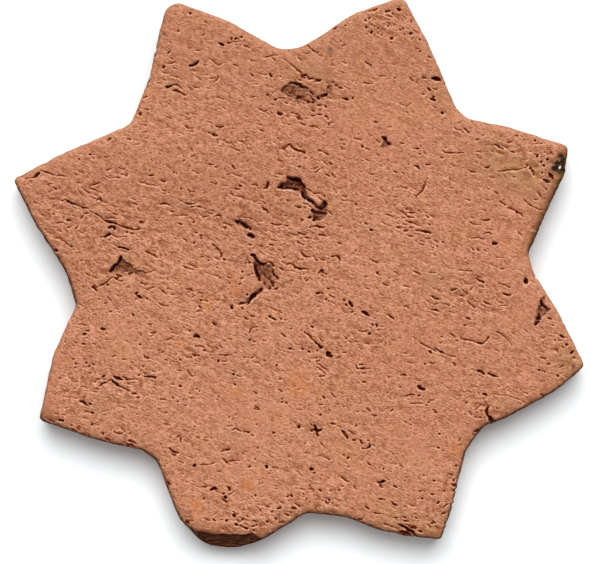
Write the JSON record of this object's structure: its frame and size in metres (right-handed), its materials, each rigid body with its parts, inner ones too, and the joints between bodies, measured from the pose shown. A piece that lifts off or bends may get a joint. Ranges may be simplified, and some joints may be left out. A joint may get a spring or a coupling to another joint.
{
  "type": "star-shaped terracotta floor tile",
  "caption": "Thick hand-cut tile of fired red clay in the shape of a pointed star, with a pitted, torn face, soft arrises, a broken point and a flat underside to bed in mortar.",
  "frame": {"origin": "centre of the star on the underside, where the tile is bedded", "axes": "+Z out of the face, across the tile's thickness; +X and +Y each leave through a notch between two points"},
  "size_m": [0.1846, 0.185, 0.015],
  "materials": {
    "terracotta": "matte"
  },
  "bodies": {
    "root": {"star_tile": "terracotta"}
  },
  "joints": []
}
